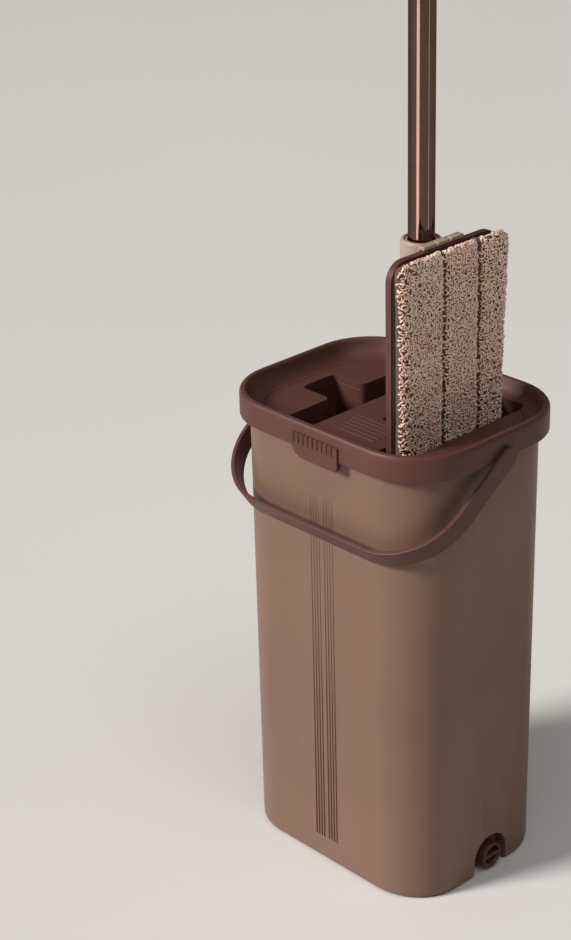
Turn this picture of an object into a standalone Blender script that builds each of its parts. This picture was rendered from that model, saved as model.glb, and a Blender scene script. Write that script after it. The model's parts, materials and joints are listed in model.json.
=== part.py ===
"""Flat mop with its wringing bucket: a tall tub, a lid with two T slots, a bail and a swivel-head mop.

Units are metres, +Z is up. The origin is the middle of the tub's base. X runs along the bail's pivots,
-Y is the front with the finger tab and the hanging bail, +X is the side with the drain.
"""
import math

import bmesh
import bpy
from mathutils import Matrix, Vector

# ---- driving dimensions ----
GAP = 0.0003                 # running gap between touching pieces
HEIGHT = 0.370               # floor to the top of the rim
RIM_HALF_X, RIM_HALF_Y, RIM_RADIUS = 0.1049, 0.0828, 0.050
SKIRT_DEPTH = 0.0192
OVERHANG = 0.0076            # skirt's outer face to the tub's outer face
TUB_HALF_X, TUB_HALF_Y = RIM_HALF_X - OVERHANG, RIM_HALF_Y - OVERHANG
TUB_RADIUS = 0.0424
TUB_TAPER = 0.001
TUB_WALL, TUB_FLOOR, TUB_FILLET = 0.0022, 0.0026, 0.005
PANEL_DROP = 0.013           # rim top down to the recessed panel
PANEL_INSET = 0.018          # rim edge in to the panel's seam
PANEL_THICK = 0.0022
SKIRT_WALL = 0.0027

SLOT_WIDTH = 0.025           # a slot's bar, across the plate's thickness
SLOT_HALF = 0.0695           # half the bar's length
SLOT_ROUND = 0.005
WRING_X, WRING_STEM, WRING_STEM_HALF = 0.0415, 0.005, 0.0185
WASH_X, WASH_STEM, WASH_STEM_HALF = -0.0475, -0.078, 0.017
WELL_WALL = 0.0015
WELL_BOTTOM = 0.030

BAIL_PIVOT = Vector((0, 0.004, 0.352))
BAIL_REACH, BAIL_BAND, BAIL_THICK = 0.1087, 0.0155, 0.0035
BAIL_CORNER = 0.055
BAIL_HANG = math.radians(35.3)
STUD_RADIUS = 0.0035

DRAIN_Y, DRAIN_Z = 0.0075, 0.0125
NICHE_HALF, NICHE_TOP, NICHE_DEPTH = 0.0177, 0.031, 0.010
NICHE_Y = 0.006

TAB_X, TAB_HALF, TAB_DROP, TAB_PROUD = 0.004, 0.0228, 0.0265, 0.0014

PLATE_BACK = 0.0445          # x of the plate's back face
PLATE_HALF, PLATE_LENGTH, PLATE_RADIUS = 0.0545, 0.315, 0.014
PLATE_TOP = 0.495
PLATE_FLOOR, PLATE_FLANGE, PLATE_EDGE = 0.0025, 0.0063, 0.0018
PAD_HALF, PAD_LENGTH, PAD_THICK = 0.0590, 0.327, 0.0108
HINGE_Z = PLATE_TOP - PLATE_LENGTH / 2
TILT_RISE = 0.013            # fold pin up to the tilt pin

POLE_X = 0.0275
TUBE_RADIUS, TUBE_WALL = 0.0095, 0.0008
SOCKET_RADIUS, COLLAR_RADIUS = 0.0115, 0.0148
SOCKET_TOP, SOCKET_FLOOR = 0.495, 0.398
TUBE_JOINT_Z, TUBE_TOP = 0.860, 1.300
GRIP_BOTTOM, GRIP_TOP, GRIP_RADIUS = 1.270, 1.425, 0.0135
CAP_TOP = 1.470


# ---- materials ----
def material(name, color, roughness, metallic=0.0):
    made = bpy.data.materials.new(name)
    made.use_nodes = True
    shader = made.node_tree.nodes["Principled BSDF"]
    shader.inputs["Base Color"].default_value = (*color, 1.0)
    shader.inputs["Roughness"].default_value = roughness
    shader.inputs["Metallic"].default_value = metallic
    made.diffuse_color = (*color, 1.0)
    return made


TAUPE = (0.33, 0.22, 0.18)
BROWN = (0.16, 0.075, 0.06)
GREIGE = (0.36, 0.27, 0.22)
GREY = (0.25, 0.22, 0.20)
DARK = (0.04, 0.025, 0.022)
STEEL = (0.55, 0.50, 0.48)
FIBRE = (0.50, 0.40, 0.34)


# ---- shape helpers ----
def clear_scene():
    for thing in list(bpy.data.objects):
        bpy.data.objects.remove(thing, do_unlink=True)


def rounded(half_x, half_y, radius, steps=10):
    """Outline of a rectangle with round corners, anticlockwise."""
    radius = min(radius, half_x - 1e-6, half_y - 1e-6)
    points = []
    for quarter in range(4):
        sign_x = 1 if quarter in (0, 3) else -1
        sign_y = 1 if quarter in (0, 1) else -1
        for step in range(steps + 1):
            angle = math.pi / 2 * (quarter + step / steps)
            points.append((sign_x * (half_x - radius) + radius * math.cos(angle),
                           sign_y * (half_y - radius) + radius * math.sin(angle)))
    return points


def circle(radius, steps=32):
    return [(radius * math.cos(2 * math.pi * k / steps), radius * math.sin(2 * math.pi * k / steps))
            for k in range(steps)]


def place(axis, at):
    """Matrix that lays a shape made along +Z along another axis, then moves it."""
    turn = {"Z": Matrix.Identity(4),
            "X": Matrix(((0, 0, 1, 0), (1, 0, 0, 0), (0, 1, 0, 0), (0, 0, 0, 1))),
            "Y": Matrix(((0, 1, 0, 0), (0, 0, 1, 0), (1, 0, 0, 0), (0, 0, 0, 1)))}[axis]
    return Matrix.Translation(at) @ turn


def add(name, mesh_data, finish=None, smooth=35):
    mesh = bpy.data.meshes.new(name)
    bmesh.ops.recalc_face_normals(mesh_data, faces=mesh_data.faces)
    if mesh_data.calc_volume(signed=True) < 0:
        bmesh.ops.reverse_faces(mesh_data, faces=mesh_data.faces)
    mesh_data.to_mesh(mesh)
    mesh_data.free()
    mesh.shade_smooth()
    mesh.set_sharp_from_angle(angle=math.radians(smooth))
    made = bpy.data.objects.new(name, mesh)
    bpy.context.collection.objects.link(made)
    if finish:
        mesh.materials.append(finish)
    return made


def loft(name, sections, finish=None, axis="Z", at=(0, 0, 0), ring=False):
    """Solid through outlines at rising or falling heights; a ring joins the last back to the first."""
    shape = bmesh.new()
    loops = [[shape.verts.new((x, y, height)) for x, y in outline] for outline, height in sections]
    pairs = list(zip(loops, loops[1:]))
    if ring:
        pairs.append((loops[-1], loops[0]))
    for first, second in pairs:
        for k in range(len(first)):
            shape.faces.new((first[k - 1], first[k], second[k], second[k - 1]))
    if not ring:
        shape.faces.new(loops[0])
        shape.faces.new(loops[-1])
    bmesh.ops.transform(shape, matrix=place(axis, at), verts=shape.verts)
    return add(name, shape, finish)


def turned(name, profile, finish=None, axis="Z", at=(0, 0, 0), ring=False, steps=32):
    """Turned solid from (radius, height) pairs."""
    return loft(name, [(circle(radius, steps), height) for radius, height in profile],
                finish, axis, at, ring)


def box(name, low, high, finish=None, bevel=0.0, segments=2):
    shape = bmesh.new()
    bmesh.ops.create_cube(shape, size=1.0)
    size = Vector(high) - Vector(low)
    bmesh.ops.scale(shape, vec=size, verts=shape.verts)
    bmesh.ops.translate(shape, vec=(Vector(low) + Vector(high)) / 2, verts=shape.verts)
    if bevel:
        bmesh.ops.bevel(shape, geom=shape.edges[:], offset=bevel, segments=segments, profile=0.5,
                        affect="EDGES", material=-1)
    return add(name, shape, finish)


def prism(name, outline, low, high, finish=None, axis="Z", at=(0, 0, 0), round_by=0.0):
    """Outline swept from low to high, with its upright edges rounded."""
    shape = bmesh.new()
    face = shape.faces.new([shape.verts.new((x, y, low)) for x, y in outline])
    risen = bmesh.ops.extrude_face_region(shape, geom=[face])
    top = [item for item in risen["geom"] if isinstance(item, bmesh.types.BMVert)]
    bmesh.ops.translate(shape, vec=(0, 0, high - low), verts=top)
    if round_by:
        upright = [edge for edge in shape.edges
                   if abs(edge.verts[0].co.z - edge.verts[1].co.z) > (high - low) / 2]
        bmesh.ops.bevel(shape, geom=upright, offset=round_by, segments=4, profile=0.5,
                        affect="EDGES", material=-1)
    bmesh.ops.transform(shape, matrix=place(axis, at), verts=shape.verts)
    return add(name, shape, finish)


def combine(target, other, operation):
    """Boolean with another object, which is used up."""
    change = target.modifiers.new(operation, "BOOLEAN")
    change.operation = operation
    change.solver = "EXACT"
    change.object = other
    bpy.context.view_layer.update()
    result = target.evaluated_get(bpy.context.evaluated_depsgraph_get())
    mesh = bpy.data.meshes.new_from_object(result)
    target.modifiers.clear()
    target.data = mesh
    mesh.shade_smooth()
    mesh.set_sharp_from_angle(angle=math.radians(35))
    bpy.data.objects.remove(other, do_unlink=True)
    return target


def cut(target, other):
    return combine(target, other, "DIFFERENCE")


def join(target, other):
    return combine(target, other, "UNION")


def own_origin(made, origin):
    """Puts the object's origin on its joint's axis and leaves its shape where it is."""
    made.data.transform(Matrix.Translation(-Vector(origin)))
    made.location = origin


# ---- tub ----
def tub_outline(inset, height):
    taper = TUB_TAPER * (1 - height / HEIGHT)
    return rounded(TUB_HALF_X - inset - taper, TUB_HALF_Y - inset - taper, TUB_RADIUS - inset), height


def arch(half, top, low, steps=16):
    """Upright sides with a half-round head, as (y, z) points about y = 0."""
    points = [(half, low)]
    for step in range(steps + 1):
        angle = math.pi * step / steps
        points.append((half * math.cos(angle), top - half + half * math.sin(angle)))
    points.append((-half, low))
    return points


def bucket_body(plastic):
    sections = []
    for step in range(4):
        angle = math.pi / 2 * step / 4
        sections.append(tub_outline(TUB_FILLET * (1 - math.sin(angle)), TUB_FILLET * (1 - math.cos(angle))))
    top = HEIGHT - 0.0130
    sections += [tub_outline(0, TUB_FILLET), tub_outline(0, top - 0.0005), tub_outline(0.0005, top)]
    sections += [tub_outline(TUB_WALL, top), tub_outline(TUB_WALL, 0.010), tub_outline(0.0045, 0.0045),
                 tub_outline(0.008, TUB_FLOOR)]
    tub = loft("bucket_body", sections, plastic)
    face = TUB_HALF_X - TUB_TAPER
    back = face - NICHE_DEPTH
    liner = prism("liner", arch(NICHE_HALF + TUB_WALL, NICHE_TOP + TUB_WALL, 0.0012), 0, NICHE_DEPTH + 0.001,
                  axis="X", at=(back - TUB_WALL, NICHE_Y, 0))
    join(tub, liner)
    niche = prism("niche", arch(NICHE_HALF, NICHE_TOP, -0.01), 0, 0.04, axis="X", at=(back, NICHE_Y, 0))
    cut(tub, niche)
    bore = turned("bore", [(0.0062, -0.03), (0.0062, 0.03)], axis="X", at=(back, DRAIN_Y, DRAIN_Z))
    cut(tub, bore)
    for side in (-1, 1):
        for rib in range(4):
            x = 0.0005 + side * (0.0025 + 0.0028 * rib)
            flute = box("flute", (x - 0.0005, -TUB_HALF_Y - 0.0002, 0.022), (x + 0.0005, -TUB_HALF_Y + 0.0015, 0.312))
            join(tub, flute)
    return tub


def drain(rubber, plug_plastic):
    back = TUB_HALF_X - TUB_TAPER - NICHE_DEPTH
    turned("drain_seal", [(0.0064, 0), (0.0088, 0), (0.0088, 0.0014), (0.0064, 0.0014)], rubber, "X",
           (back + GAP, DRAIN_Y, DRAIN_Z), ring=True)
    shank = 0.0059
    plug = turned("drain_plug", [(0.0045, -0.0095), (shank, -0.0080), (shank, GAP + 0.0016), (0.0096, GAP + 0.0018),
                                 (0.0100, 0.0024), (0.0100, 0.0105), (0.0095, 0.0112), (0.0082, 0.0112),
                                 (0.0078, 0.0106), (0.0074, 0.0070)],
                  plug_plastic, "X", (back, DRAIN_Y, DRAIN_Z))
    bar = box("bar", (back + 0.0060, DRAIN_Y - 0.0079, DRAIN_Z - 0.0013),
              (back + 0.0108, DRAIN_Y + 0.0079, DRAIN_Z + 0.0013))
    join(plug, bar)
    own_origin(plug, (back, DRAIN_Y, DRAIN_Z))


# ---- lid ----
def rim_outline(inset, height):
    return rounded(RIM_HALF_X - inset, RIM_HALF_Y - inset, RIM_RADIUS - inset), height


def slot_outline(bar, stem, stem_half, grow=0.0):
    """T outline: a bar along Y whose stem points to -X."""
    half = SLOT_HALF + grow
    return [(bar - grow, -half), (bar + SLOT_WIDTH + grow, -half), (bar + SLOT_WIDTH + grow, half),
            (bar - grow, half), (bar - grow, stem_half + grow), (stem - grow, stem_half + grow),
            (stem - grow, -stem_half - grow), (bar - grow, -stem_half - grow)]


SLOTS = {"wash": (WASH_X, WASH_STEM, WASH_STEM_HALF), "wring": (WRING_X, WRING_STEM, WRING_STEM_HALF)}


def cut_slots(target):
    for slot in SLOTS.values():
        cut(target, prism("slot", slot_outline(*slot), 0.30, 0.40, round_by=SLOT_ROUND))


def rim_collar(plastic):
    seam = HEIGHT - PANEL_DROP
    under = seam - PANEL_THICK - GAP
    step_in = OVERHANG + TUB_WALL + 0.0006
    sections = [rim_outline(0.0003, HEIGHT - SKIRT_DEPTH), rim_outline(0, HEIGHT - SKIRT_DEPTH + 0.0006),
                rim_outline(0, HEIGHT - 0.0035), rim_outline(0.0004, HEIGHT - 0.0016),
                rim_outline(0.0013, HEIGHT - 0.0004), rim_outline(0.0025, HEIGHT),
                rim_outline(0.0040, HEIGHT), rim_outline(0.0052, HEIGHT - 0.0008),
                rim_outline(0.0060, HEIGHT - 0.0024), rim_outline(0.0072, HEIGHT - 0.0058),
                rim_outline(0.0095, HEIGHT - 0.0092), rim_outline(0.0130, HEIGHT - 0.0118),
                rim_outline(PANEL_INSET, seam), rim_outline(PANEL_INSET, under),
                rim_outline(step_in, under), rim_outline(step_in, seam + GAP),
                rim_outline(SKIRT_WALL, seam + GAP), rim_outline(SKIRT_WALL, HEIGHT - SKIRT_DEPTH)]
    rim = loft("rim_collar", sections, plastic, ring=True)
    for side in (-1, 1):
        middle = side * (RIM_HALF_X - 0.0012)
        join(rim, turned("lug", [(0.0098, -0.0013), (0.0098, 0.0013)], axis="X",
                         at=(middle, BAIL_PIVOT.y, BAIL_PIVOT.z)))
        cut(rim, turned("bore", [(STUD_RADIUS + GAP, -0.01), (STUD_RADIUS + GAP, 0.01)], axis="X",
                        at=(middle, BAIL_PIVOT.y, BAIL_PIVOT.z)))
    finger_tabs(rim)
    cut_slots(rim)
    return rim


def finger_tabs(rim):
    """Lift tabs in the middle of the front and the back skirt, each with grip ribs."""
    for side in (-1, 1):
        outline = [(TAB_X - TAB_HALF, HEIGHT - 0.0080), (TAB_X - TAB_HALF, HEIGHT - 0.0190),
                   (TAB_X - TAB_HALF + 0.003, HEIGHT - 0.0235), (TAB_X - TAB_HALF + 0.009, HEIGHT - TAB_DROP),
                   (TAB_X + TAB_HALF - 0.002, HEIGHT - TAB_DROP), (TAB_X + TAB_HALF, HEIGHT - TAB_DROP + 0.002),
                   (TAB_X + TAB_HALF, HEIGHT - 0.0080)]
        inner = RIM_HALF_Y - SKIRT_WALL + 0.0002
        outer = RIM_HALF_Y + TAB_PROUD
        shape = bmesh.new()
        low = [shape.verts.new((x, side * inner, z)) for x, z in outline]
        face = shape.faces.new(low)
        grown = bmesh.ops.extrude_face_region(shape, geom=[face])
        moved = [item for item in grown["geom"] if isinstance(item, bmesh.types.BMVert)]
        bmesh.ops.translate(shape, vec=(0, side * (outer - inner), 0), verts=moved)
        join(rim, add("tab", shape))
        for rib in range(9):
            x = TAB_X - 0.0205 + 0.0047 * rib
            low_y, high_y = sorted((side * (RIM_HALF_Y - 0.001), side * (outer + 0.0008)))
            join(rim, box("rib", (x - 0.0008, low_y, HEIGHT - 0.0155), (x + 0.0008, high_y, HEIGHT - 0.0075),
                          bevel=0.0004, segments=1))


def insert_floor(plastic):
    seam = HEIGHT - PANEL_DROP
    flange_top = seam - PANEL_THICK - 2 * GAP
    flange = OVERHANG + TUB_WALL + 0.0024
    sections = [rim_outline(flange, flange_top - 0.0018), rim_outline(flange, flange_top),
                rim_outline(PANEL_INSET + GAP, flange_top), rim_outline(PANEL_INSET + GAP, seam)]
    panel = loft("insert_floor", sections, plastic)
    cut_slots(panel)
    for side in (-1, 1):
        for rib in range(6):
            y = side * (0.0235 + 0.005 * rib)
            low, high = min(y, y + side * 0.0014), max(y, y + side * 0.0014)
            join(panel, box("hatch", (-0.0135 + 0.0015 * rib, low, seam - 0.001),
                            (0.0295, high, seam + 0.0005)))
    return panel


def well(name, plastic, slot, bottom):
    """T-shaped channel that hangs under a slot, open below."""
    top = HEIGHT - PANEL_DROP - PANEL_THICK - 3 * GAP - 0.0018
    made = prism(name, slot_outline(*slot, grow=WELL_WALL), bottom, top, plastic, round_by=SLOT_ROUND + WELL_WALL)
    cut(made, prism("hollow", slot_outline(*slot), bottom - 0.01, top + 0.01, round_by=SLOT_ROUND))
    return made


def blade(name, finish, wall_x, reach, y_low, y_high, z_low, z_high, teeth=1):
    """Wiping strip on a well's wall: a wedge, or several, that points across the slot."""
    height = (z_high - z_low) / teeth
    profile = [(0.0, z_low)]
    for tooth in range(teeth):
        base = z_low + tooth * height
        profile += [(reach, base + height * 0.45), (reach, base + height * 0.6), (reach * 0.35, base + height * 0.97)]
    profile += [(0.0, z_high)]
    shape = bmesh.new()
    face = shape.faces.new([shape.verts.new((wall_x + x, y_low, z)) for x, z in profile])
    grown = bmesh.ops.extrude_face_region(shape, geom=[face])
    moved = [item for item in grown["geom"] if isinstance(item, bmesh.types.BMVert)]
    bmesh.ops.translate(shape, vec=(0, y_high - y_low, 0), verts=moved)
    return add(name, shape, finish, smooth=20)


def blades(rubber, bristle):
    near, far = WRING_X + GAP, WRING_X + SLOT_WIDTH - GAP
    blade("scraper_pad", rubber, far, -0.0040, -0.060, 0.060, 0.318, 0.340)
    blade("scraper_back_left", rubber, near, 0.0023, -0.060, -0.0210, 0.318, 0.340)
    blade("scraper_back_right", rubber, near, 0.0023, 0.0210, 0.060, 0.318, 0.340)
    near, far = WASH_X + GAP, WASH_X + SLOT_WIDTH - GAP
    blade("scrub_strip_pad", bristle, far, -0.0042, -0.058, 0.058, 0.120, 0.330, teeth=10)
    blade("scrub_strip_back_left", bristle, near, 0.0030, -0.060, -0.0210, 0.120, 0.330, teeth=10)
    blade("scrub_strip_back_right", bristle, near, 0.0030, 0.0210, 0.060, 0.120, 0.330, teeth=10)


# ---- bail ----
def bail_path(half, reach, corner, steps=12):
    """Half of a U in plan from the pivot to the middle of the front bar, then its mirror image."""
    points = [(half, 0.0)]
    for step in range(steps + 1):
        angle = math.pi / 2 * step / steps
        points.append((half - corner + corner * math.cos(angle), -reach + corner - corner * math.sin(angle)))
    return points + [(-x, y) for x, y in reversed(points)]


def bail(plastic, ring_steel):
    half = RIM_HALF_X + 0.0042
    outer = bail_path(half, BAIL_REACH + BAIL_THICK / 2, BAIL_CORNER)
    inner = bail_path(half - BAIL_THICK, BAIL_REACH - BAIL_THICK / 2, BAIL_CORNER - BAIL_THICK)
    handle = prism("bail_handle", outer + inner[::-1], -BAIL_BAND / 2, BAIL_BAND / 2, plastic)
    for side in (-1, 1):
        proud = 0.0003
        start = (half - BAIL_THICK if side > 0 else -half) - proud
        join(handle, turned("end", [(BAIL_BAND / 2 + 0.0002, 0), (BAIL_BAND / 2 + 0.0002, BAIL_THICK + 2 * proud)],
                            axis="X", at=(start, 0, 0)))
        low = RIM_HALF_X - 0.0070 if side > 0 else -half + 0.001
        length = half - 0.001 - (RIM_HALF_X - 0.0070)
        join(handle, turned("stud", [(STUD_RADIUS, 0), (STUD_RADIUS, length)], axis="X", at=(low, 0, 0)))
    handle.location = BAIL_PIVOT
    handle.rotation_euler = (BAIL_HANG, 0, 0)
    for side, word in ((-1, "left"), (1, "right")):
        start = RIM_HALF_X - 0.0062 if side > 0 else -(RIM_HALF_X - 0.0062) - 0.0014
        ring = turned("bail_ring_" + word, [(STUD_RADIUS + GAP, 0), (0.0050, 0), (0.0050, 0.0014),
                                            (STUD_RADIUS + GAP, 0.0014)], ring_steel, "X",
                      (start, BAIL_PIVOT.y, BAIL_PIVOT.z), ring=True, steps=24)
        own_origin(ring, BAIL_PIVOT)


# ---- mop head ----
def slab_outline(half_y, half_z, radius, steps=6):
    return rounded(half_y, half_z, radius, steps)


def mop_head(tray, strip, backing, cloth, clip, steel):
    centre = (0, 0, HINGE_Z)
    half_z = PLATE_LENGTH / 2
    flange_x = PLATE_BACK + PLATE_FLANGE
    sections = [(slab_outline(PLATE_HALF - 0.0012, half_z - 0.0012, PLATE_RADIUS), PLATE_BACK),
                (slab_outline(PLATE_HALF, half_z, PLATE_RADIUS), PLATE_BACK + 0.0012),
                (slab_outline(PLATE_HALF, half_z, PLATE_RADIUS), flange_x),
                (slab_outline(PLATE_HALF - PLATE_EDGE, half_z - PLATE_EDGE, PLATE_RADIUS - PLATE_EDGE), flange_x),
                (slab_outline(PLATE_HALF - PLATE_EDGE, half_z - PLATE_EDGE, PLATE_RADIUS - PLATE_EDGE),
                 PLATE_BACK + PLATE_FLOOR)]
    plate = loft("mop_plate", sections, tray, "X", centre)
    front = PLATE_BACK + PLATE_FLOOR + GAP
    for number, y in enumerate((-0.038, 0.0, 0.038), 1):
        loft("hook_strip_%d" % number, [(slab_outline(0.007, 0.140, 0.002), 0.0), (slab_outline(0.007, 0.140, 0.002), 0.0012)],
             strip, "X", (front, y, HINGE_Z))
    front += 0.0012 + GAP
    inside = PLATE_EDGE + 2 * GAP
    sheet = slab_outline(PLATE_HALF - inside, half_z - inside, PLATE_RADIUS - inside)
    loft("pad_backing", [(sheet, 0.0), (sheet, 0.0016)], backing, "X", (front, 0, HINGE_Z))
    front = flange_x + GAP
    pad_half = PAD_LENGTH / 2
    loft("mop_pad", [(slab_outline(PAD_HALF - 0.002, pad_half - 0.002, 0.006), 0.0),
                     (slab_outline(PAD_HALF, pad_half, 0.008), 0.002),
                     (slab_outline(PAD_HALF, pad_half, 0.008), PAD_THICK - 0.004),
                     (slab_outline(PAD_HALF - 0.0012, pad_half - 0.0012, 0.007), PAD_THICK - 0.0013),
                     (slab_outline(PAD_HALF - 0.004, pad_half - 0.004, 0.006), PAD_THICK)],
         cloth, "X", (front, 0, HINGE_Z))
    end_clip = box("end_clip", (PLATE_BACK - 0.0017, -0.020, PLATE_TOP - 0.013),
                   (PLATE_BACK + 0.0045, 0.020, PLATE_TOP + 0.0030), clip, bevel=0.0006)
    cut(end_clip, box("room", (PLATE_BACK - GAP, -0.03, PLATE_TOP - 0.05),
                      (PLATE_BACK + 0.05, 0.03, PLATE_TOP + GAP)))
    for y in (-0.0075, 0.0055):
        cut(end_clip, box("notch", (PLATE_BACK - 0.0004, y, PLATE_TOP + 0.0014), (PLATE_BACK + 0.006, y + 0.002, PLATE_TOP + 0.004)))
    hinge_bracket(plate, tray, steel)


def hinge_bracket(plate, tray, steel):
    """Bracket on the plate's back with two ears, held by two screws, and the fold pin across the ears."""
    base = PLATE_BACK - GAP
    bracket = box("hinge_bracket", (base - 0.0036, -0.0165, HINGE_Z - 0.024), (base, 0.0165, HINGE_Z + 0.024),
                  tray, bevel=0.0008)
    for side in (-1, 1):
        low, high = sorted((side * 0.0124, side * 0.0160))
        ear = box("ear", (POLE_X - 0.0065, low, HINGE_Z - 0.0075), (base - 0.002, high, HINGE_Z + 0.0075), bevel=0.0008)
        join(bracket, ear)
    cut(bracket, turned("bore", [(0.0028, -0.03), (0.0028, 0.03)], axis="Y", at=(POLE_X, 0, HINGE_Z), steps=20))
    for number, side in enumerate((-1, 1), 1):
        place_at = (0, 0, HINGE_Z + side * 0.0175)
        for target in (bracket, plate):
            cut(target, turned("hole", [(0.0018, 0.03), (0.0018, 0.0475)], axis="X", at=place_at, steps=16))
        head = base - 0.0036 - GAP
        turned("bracket_screw_%d" % number, [(0.0016, head - 0.0016), (0.0030, head - 0.0012), (0.0032, head),
                                             (0.0015, head), (0.0015, PLATE_BACK + 0.0022)],
               steel, "X", place_at, steps=16)
    pin = turned("fold_pin", [(0.0025, -0.0158), (0.0025, 0.0158)], steel, "Y", (POLE_X, 0, HINGE_Z), steps=20)
    own_origin(pin, (POLE_X, 0, HINGE_Z))


def yoke(plastic, steel):
    axis_z = HINGE_Z + TILT_RISE
    block = box("yoke_block", (POLE_X - 0.0062, -0.0119, HINGE_Z - 0.0060),
                (POLE_X + 0.0062, 0.0119, HINGE_Z + 0.0058), plastic, bevel=0.0014)
    join(block, box("neck", (POLE_X - 0.0062, -0.0072, HINGE_Z - 0.0010), (POLE_X + 0.0062, 0.0072, axis_z + 0.0062),
                    bevel=0.0014))
    cut(block, turned("bore", [(0.0028, -0.03), (0.0028, 0.03)], axis="Y", at=(POLE_X, 0, HINGE_Z), steps=20))
    cut(block, turned("bore", [(0.0023, -0.03), (0.0023, 0.03)], axis="X", at=(POLE_X, 0, axis_z), steps=20))
    own_origin(block, (POLE_X, 0, HINGE_Z))
    pin = turned("tilt_pin", [(0.0020, -0.0096), (0.0020, 0.0096)], steel, "X", (POLE_X, 0, axis_z), steps=20)
    own_origin(pin, (POLE_X, 0, axis_z))


def socket(plastic):
    axis_z = HINGE_Z + TILT_RISE
    base = axis_z + 0.0125
    bore = TUBE_RADIUS + 0.0004
    profile = [(SOCKET_RADIUS - 0.001, base), (SOCKET_RADIUS, base + 0.001), (SOCKET_RADIUS, SOCKET_TOP - 0.026),
               (COLLAR_RADIUS - 0.0004, SOCKET_TOP - 0.022), (COLLAR_RADIUS, SOCKET_TOP - 0.0200),
               (COLLAR_RADIUS, SOCKET_TOP - 0.0015), (COLLAR_RADIUS - 0.0012, SOCKET_TOP), (0.0122, SOCKET_TOP),
               (0.0122, SOCKET_TOP - 0.017), (bore, SOCKET_TOP - 0.017), (bore, SOCKET_FLOOR)]
    body = turned("socket", profile, plastic, at=(POLE_X, 0, 0))
    for side in (-1, 1):
        low, high = sorted((POLE_X + side * 0.0066, POLE_X + side * 0.0098))
        ear = box("ear", (low, -0.0062, axis_z - 0.0062), (high, 0.0062, base + 0.004), bevel=0.0008)
        join(body, ear)
    cut(body, turned("bore", [(0.0023, -0.03), (0.0023, 0.03)], axis="X", at=(POLE_X, 0, axis_z), steps=20))
    own_origin(body, (POLE_X, 0, axis_z))


# ---- pole ----
def pole(chrome, plastic, grip_rubber):
    at = (POLE_X, 0, 0)
    inner = TUBE_RADIUS - TUBE_WALL
    core = inner - 0.0004
    turned("swivel_ring", [(0.0099, SOCKET_TOP - 0.0166), (0.0118, SOCKET_TOP - 0.0166), (0.0118, SOCKET_TOP - 0.0008),
                           (0.0099, SOCKET_TOP - 0.0008)], plastic, at=at, ring=True)
    turned("tube_foot", [(TUBE_RADIUS - 0.0005, SOCKET_FLOOR + GAP), (TUBE_RADIUS, SOCKET_FLOOR + 0.0008),
                         (TUBE_RADIUS, SOCKET_FLOOR + 0.003), (core, SOCKET_FLOOR + 0.003),
                         (core, SOCKET_FLOOR + 0.028)], plastic, at=at)
    for name, low, high in (("lower_tube", SOCKET_FLOOR + 0.003 + GAP, TUBE_JOINT_Z),
                            ("upper_tube", TUBE_JOINT_Z + 0.006, TUBE_TOP)):
        turned(name, [(inner, low), (TUBE_RADIUS, low), (TUBE_RADIUS, high), (inner, high)], chrome, at=at, ring=True)
    turned("tube_joint", [(core, TUBE_JOINT_Z - 0.030), (core, TUBE_JOINT_Z + GAP), (0.0106, TUBE_JOINT_Z + GAP),
                          (0.0110, TUBE_JOINT_Z + 0.001), (0.0110, TUBE_JOINT_Z + 0.005),
                          (0.0106, TUBE_JOINT_Z + 0.006 - GAP), (core, TUBE_JOINT_Z + 0.006 - GAP),
                          (core, TUBE_JOINT_Z + 0.034)], plastic, at=at)
    profile = [(TUBE_RADIUS + 0.0004, GRIP_BOTTOM), (GRIP_RADIUS - 0.0008, GRIP_BOTTOM), (GRIP_RADIUS, GRIP_BOTTOM + 0.001)]
    profile += [(GRIP_RADIUS, GRIP_TOP - 0.001), (GRIP_RADIUS - 0.001, GRIP_TOP),
                (0.0075, GRIP_TOP), (0.0075, TUBE_TOP + 0.003), (TUBE_RADIUS + 0.0004, TUBE_TOP + 0.001)]
    turned("grip_sleeve", profile, grip_rubber, at=at, ring=True)
    cap = turned("hanging_cap", [(0.0068, GRIP_TOP - 0.025), (0.0071, GRIP_TOP - 0.024), (0.0071, GRIP_TOP + GAP),
                                 (0.0120, GRIP_TOP + GAP), (0.0125, GRIP_TOP + 0.001), (0.0122, GRIP_TOP + 0.010),
                                 (0.0112, CAP_TOP - 0.012), (0.0090, CAP_TOP - 0.004), (0.0055, CAP_TOP)], plastic, at=at)
    cut(cap, prism("eye", rounded(0.0055, 0.0115, 0.0055, 6), -0.03, 0.03, axis="X",
                   at=(POLE_X, 0, CAP_TOP - 0.0225)))
    for name in ("swivel_ring", "tube_foot", "lower_tube", "upper_tube", "tube_joint", "grip_sleeve", "hanging_cap"):
        own_origin(bpy.data.objects[name], (POLE_X, 0, SOCKET_TOP))


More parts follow.
